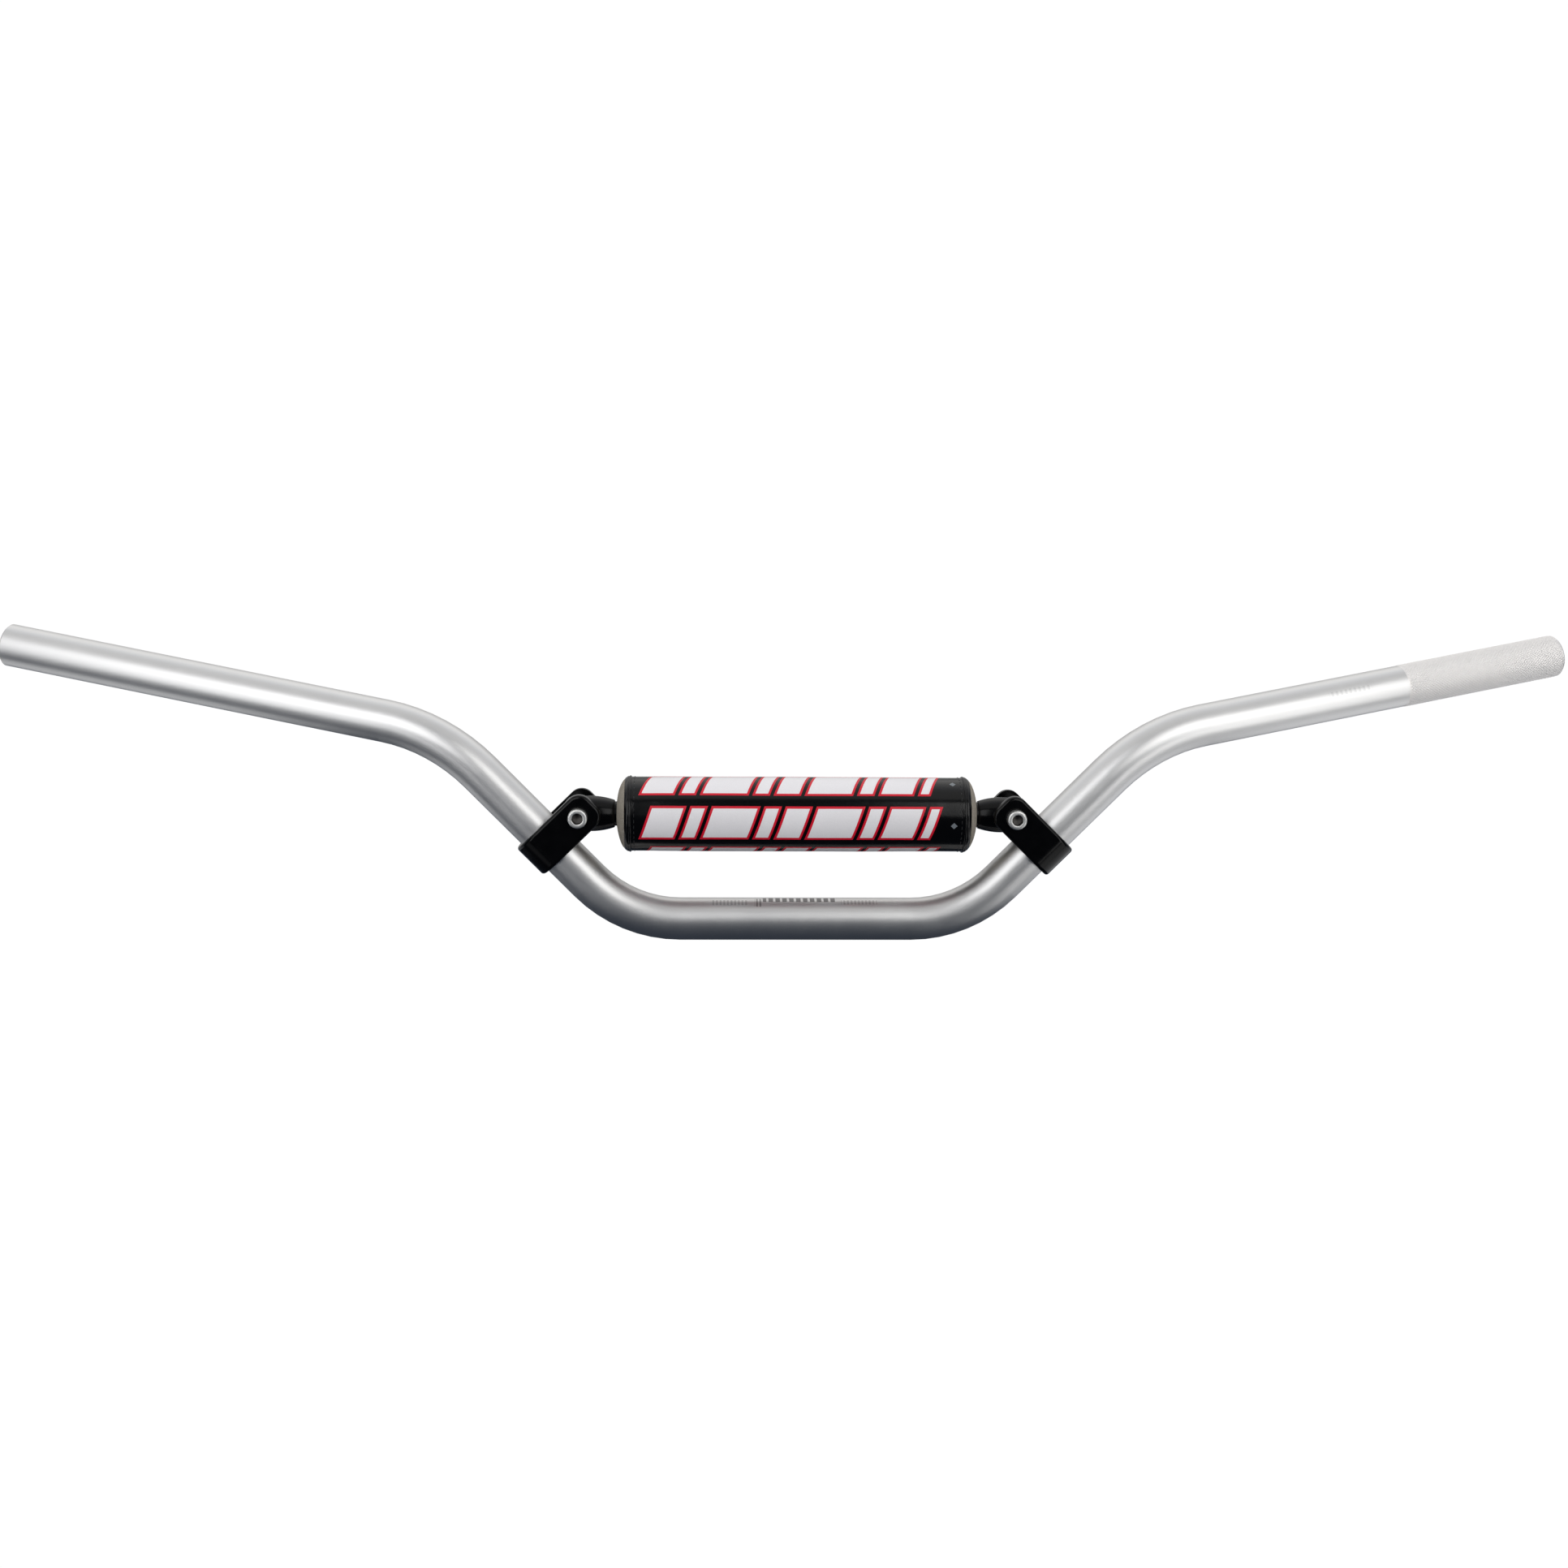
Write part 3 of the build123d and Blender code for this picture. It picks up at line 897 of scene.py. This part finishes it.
def cover():
    """The printed vinyl cover: one sheet sewn at the piping and closed behind by a flap."""
    stations = cover_stations()
    angles = cover_angles()
    columns = len(stations)
    base, free = cover_grid(stations, angles)
    faces = []
    for face in grid_faces(len(angles), columns):
        row, column = divmod(face[0], columns)
        middle_x = (stations[column] + stations[column + 1]) / 2
        if on_flap(middle_x) or angles[row] > COVER_MEET:
            faces.append(face)
    piece = make_mesh("pad_cover_cloth", base, faces, "black_vinyl", crease_deg=60)
    shaped = puff(piece, base, free)
    final = [tuple(wrinkled(point, share)) for point, share in zip(shaped, free)]
    piece.data.vertices.foreach_set("co", np.array(final, np.float32).ravel())
    piece.data.update()

    # Points past the flap's ends that no face uses are taken away before it is given thickness.
    loose = bmesh.new()
    loose.from_mesh(piece.data)
    bmesh.ops.delete(loose, geom=[v for v in loose.verts if not v.link_faces], context="VERTS")
    loose.to_mesh(piece.data)
    loose.free()
    thick = piece.modifiers.new("thickness", "SOLIDIFY")
    thick.thickness = COVER_THICKNESS
    thick.offset = 0
    graph = bpy.context.evaluated_depsgraph_get()
    solid = bpy.data.meshes.new_from_object(piece.evaluated_get(graph))
    piece.modifiers.clear()
    piece.data = solid
    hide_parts("pad_cover")
    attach(piece, "crossbar_pad")
    return piece


PIPING_RADIUS = 0.7 * MM
PIPING_COLUMNS = 200
PIPING_ROWS = 12


def piping(label, sign):
    """A gathered welt round the cover where its end hem is sewn on."""
    points = []
    for column in range(PIPING_COLUMNS):
        angle = TAU * column / PIPING_COLUMNS
        gather = noise.noise(Vector((math.cos(angle) * 5, math.sin(angle) * 5, sign * 3.1)))
        swell = 1 + 0.12 * gather
        for row in range(PIPING_ROWS):
            turn = TAU * row / PIPING_ROWS
            x = sign * PIPING_X + PIPING_RADIUS * swell * math.cos(turn) + 0.12 * MM * gather
            reach = COVER_RADIUS - 0.1 * MM + PIPING_RADIUS * swell * math.sin(turn)
            points.append(pad_point(x, reach, angle))
    faces = grid_faces(PIPING_COLUMNS, PIPING_ROWS, wrap_rows=True, wrap_columns=True)
    piece = make_mesh(f"piping_{label}", points, faces, "plain_vinyl", crease_deg=60)
    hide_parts(f"pad_piping_{label}")
    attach(piece, "crossbar_pad")
    return piece


# Stitches: the pitch, the share of it that shows as thread, and the thread's own shape.
STITCH_PITCH = 3.0 * MM
STITCH_SHARE = 0.68
STITCH_RISE = 0.3 * MM
STITCH_SINK = 0.16 * MM
THREAD_RADIUS = 0.17 * MM
HEM_STITCH_INSET = 2.2 * MM
FLAP_STITCH_INSET = 2.0 * MM
# The hems' rows leave out the place where the edges of the wrap meet.
HEM_ROW_GAP = (math.radians(46), math.radians(58))


def stitch(points, faces, start, end, outward):
    """Adds one stitch: a short round thread that dips in at both ends."""
    run = end - start
    along = run.normalized()
    side = along.cross(outward).normalized()
    rings, ring_points = 7, 6
    first = len(points)
    for ring in range(rings):
        share = ring / (rings - 1)
        arch = math.sin(math.pi * share)
        middle = start + run * share + outward * (STITCH_RISE * arch ** 0.6 - STITCH_SINK)
        thick = THREAD_RADIUS * (0.55 + 0.45 * arch)
        for index in range(ring_points):
            turn = TAU * index / ring_points
            points.append(middle + (outward * math.cos(turn) + side * math.sin(turn)) * thick)
    faces += [
        tuple(first + index for index in face)
        for face in grid_faces(rings, ring_points, wrap_columns=True)
    ]
    faces.append(tuple(first + index for index in reversed(range(ring_points))))
    faces.append(tuple(first + (rings - 1) * ring_points + index for index in range(ring_points)))


def stitch_round(points, faces, x, radius, angle, next_angle):
    """Adds one stitch that runs round the pad."""
    middle = (angle + next_angle) / 2
    outward = Vector((0, math.cos(middle), math.sin(middle)))
    start = pad_point(x, radius, angle)
    stitch(points, faces, start, pad_point(x, radius, next_angle), outward)


def stitching():
    """Thread along both hems and round the flap."""
    points, faces = [], []

    # One row round the pad inside each piping.
    count = int(TAU * COVER_RADIUS / STITCH_PITCH)
    for sign in (1, -1):
        x = sign * (PIPING_X - HEM_STITCH_INSET)
        for index in range(count):
            angle = TAU * index / count
            if not HEM_ROW_GAP[0] < angle < HEM_ROW_GAP[1]:
                next_angle = angle + TAU / count * STITCH_SHARE
                stitch_round(points, faces, x, COVER_RADIUS - hem_drop(x), angle, next_angle)

    # One row along the flap's free edge.
    edge = COVER_LAST + FLAP_STITCH_INSET / FLAP_RADIUS
    outward = Vector((0, math.cos(edge), math.sin(edge)))
    for index in range(int(2 * (FLAP_HALF - FLAP_STITCH_INSET) / STITCH_PITCH)):
        x = -FLAP_HALF + FLAP_STITCH_INSET + index * STITCH_PITCH
        start = pad_point(x, FLAP_RADIUS, edge)
        end = pad_point(x + STITCH_PITCH * STITCH_SHARE, FLAP_RADIUS, edge)
        stitch(points, faces, start, end, outward)

    # One short row down each end of the flap.
    count = int((COVER_STEP_LOW - edge) * FLAP_RADIUS / STITCH_PITCH)
    for sign in (1, -1):
        x = sign * (FLAP_HALF - FLAP_STITCH_INSET)
        for index in range(1, count):
            angle = edge + index * STITCH_PITCH / FLAP_RADIUS
            next_angle = angle + STITCH_PITCH * STITCH_SHARE / FLAP_RADIUS
            stitch_round(points, faces, x, FLAP_RADIUS, angle, next_angle)
    piece = make_mesh("cover_stitching", points, faces, "thread", crease_deg=60)
    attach(piece, "crossbar_pad")
    return piece


foam = foam_core()
cover_piece = cover()
welts = [piping(label, sign) for label, sign in SIDES]
threads = stitching()


# ---------------------------------------------------------------- studio
REAR_LIGHT = 0.48
STUDIO_DIM = 0.035
DIM_COLOUR = (0.65, 0.87, 1.3)
WARM_WHITE = (1, 0.985, 0.955)
SOFT_WHITE = (1, 0.995, 0.98)
# Softboxes: name, centre, the point it faces, width, height, radiance and tint if any.
SOFTBOXES = (
    ("overhead", (0, 0.35, 1.2), (0, 0.35, 0), 3.0, 2.32, 0.62, WARM_WHITE),
    ("left_inner", (-0.44, -0.85, 0.53), (-0.44, 0, 0.53), 0.52, 0.84, 2.1),
    ("left_outer", (-0.88, -0.85, 0.3), (-0.88, 0, 0.3), 0.44, 1.46, 2.1),
    ("left_low", (-0.86, -0.5, -0.5), (-0.35, 0, 0.1), 0.4, 0.55, 0.25),
    ("left_high", (-1.35, -0.4, 0.85), (0, 0, 0.05), 0.7, 0.8, 0.75),
    ("right_inner", (0.45, -0.85, 0.55), (0.45, 0, 0.55), 0.50, 0.8, 2.1, SOFT_WHITE),
    ("right_outer", (0.93, -0.85, 0.24), (0.93, 0, 0.24), 0.5, 1.6, 2.15, SOFT_WHITE),
    ("right_high", (1.35, -0.4, 0.85), (0, 0, 0.05), 0.7, 0.8, 0.4),
    ("right_low", (0.86, -0.5, -0.5), (0.35, 0, 0.1), 0.4, 0.7, 0.8, SOFT_WHITE),
    ("floor_left", (-0.7, 0.25, -0.28), (-0.7, 0.25, 0), 0.5, 0.5, 0.6),
    ("floor_right", (0.66, 0.2, -0.28), (0.66, 0.2, 0), 0.5, 0.6, 0.8),
)
PAPER_GLOW = 1.02
FLOOR_RADIUS = 6
FLOOR_Z = -0.3
SURROUND_RADIUS = 6.2

# The camera stands a metre from its target, which is on the object.
CAMERA_TARGET = Vector((-6.8, 0, 71.4)) * MM
CAMERA_DISTANCE = 1.0
CAMERA_AZIMUTH = math.radians(-2.53)
CAMERA_ELEVATION = math.radians(8.29)
CAMERA_ROLL = math.radians(0.6)
CAMERA_LENS = 44.19
CAMERA_SENSOR = 36


def surroundings():
    """Pale surroundings behind the object and a dim studio in front of it."""
    world = bpy.data.worlds.new("studio")
    bpy.context.scene.world = world
    world.use_nodes = True
    tree = world.node_tree
    tree.nodes.clear()
    direction = tree.nodes.new("ShaderNodeTexCoord").outputs["Generated"]
    split = tree.nodes.new("ShaderNodeSeparateXYZ")
    tree.links.new(direction, split.inputs[0])
    _, y, z = split.outputs
    behind = product(tree, step(tree, y, 0.2, 0.35), step(tree, z, -0.35, 0.25))
    background = tree.nodes.new("ShaderNodeBackground")
    feed(tree, background.inputs["Color"], mix(tree, behind, DIM_COLOUR, (1, 1, 1)))
    feed(tree, background.inputs["Strength"], remap(tree, behind, STUDIO_DIM, REAR_LIGHT))
    output = tree.nodes.new("ShaderNodeOutputWorld")
    tree.links.new(background.outputs[0], output.inputs[0])


def softbox(name, centre, facing, width, height, radiance, tint=(1, 1, 1)):
    """A soft rectangular light, with its power set from its radiance and its area."""
    data = bpy.data.lights.new(name, "AREA")
    data.color = tint
    data.shape = "RECTANGLE"
    data.size = width
    data.size_y = height
    data.energy = radiance * math.pi * width * height
    light = bpy.data.objects.new(name, data)
    light.location = centre
    aim = Vector(facing) - Vector(centre)
    light.rotation_euler = aim.to_track_quat("-Z", "Y").to_euler()
    bpy.context.scene.collection.objects.link(light)


def glowing_white(name):
    """Backdrop paper lit evenly to white."""
    material = bpy.data.materials.new(name)
    material.use_nodes = True
    tree = material.node_tree
    tree.nodes.clear()
    glow = tree.nodes.new("ShaderNodeEmission")
    glow.inputs["Color"].default_value = (1, 1, 1, 1)
    glow.inputs["Strength"].default_value = PAPER_GLOW
    output = tree.nodes.new("ShaderNodeOutputMaterial")
    tree.links.new(glow.outputs[0], output.inputs[0])
    material.cycles.emission_sampling = "NONE"
    return material


def backdrop():
    """A wide pale floor and a surround, seen by the camera alone."""
    paper = glowing_white("backdrop_paper")
    bpy.ops.mesh.primitive_circle_add(
        vertices=96, radius=FLOOR_RADIUS, fill_type="NGON", location=(0, 0, FLOOR_Z)
    )
    floor = bpy.context.object
    floor.name = "studio_floor"
    bpy.ops.mesh.primitive_uv_sphere_add(
        segments=48, ring_count=24, radius=SURROUND_RADIUS, location=(0, 0, 0)
    )
    surround = bpy.context.object
    surround.name = "studio_surround"
    for piece in (floor, surround):
        piece.data.materials.append(paper)
        piece.visible_diffuse = False
        piece.visible_glossy = False
        piece.visible_transmission = False
        piece.visible_volume_scatter = False
        piece.visible_shadow = False


def camera():
    """The camera: in front, a little above the bar and a little to one side."""
    forward = Vector(
        (
            -math.sin(CAMERA_AZIMUTH) * math.cos(CAMERA_ELEVATION),
            math.cos(CAMERA_AZIMUTH) * math.cos(CAMERA_ELEVATION),
            -math.sin(CAMERA_ELEVATION),
        )
    )
    level = Vector((math.cos(CAMERA_AZIMUTH), math.sin(CAMERA_AZIMUTH), 0))
    upright = level.cross(forward)
    right = level * math.cos(CAMERA_ROLL) + upright * math.sin(CAMERA_ROLL)
    up = upright * math.cos(CAMERA_ROLL) - level * math.sin(CAMERA_ROLL)
    data = bpy.data.cameras.new("camera")
    data.lens = CAMERA_LENS
    data.sensor_width = CAMERA_SENSOR
    data.clip_start = 0.05
    data.clip_end = 50
    eye = bpy.data.objects.new("camera", data)
    matrix = Matrix((right, up, -forward)).transposed().to_4x4()
    matrix.translation = CAMERA_TARGET - forward * CAMERA_DISTANCE
    eye.matrix_world = matrix
    bpy.context.scene.collection.objects.link(eye)
    bpy.context.scene.camera = eye


surroundings()
for box in SOFTBOXES:
    softbox(*box)
backdrop()
camera()
bpy.context.scene.view_settings.view_transform = "Standard"
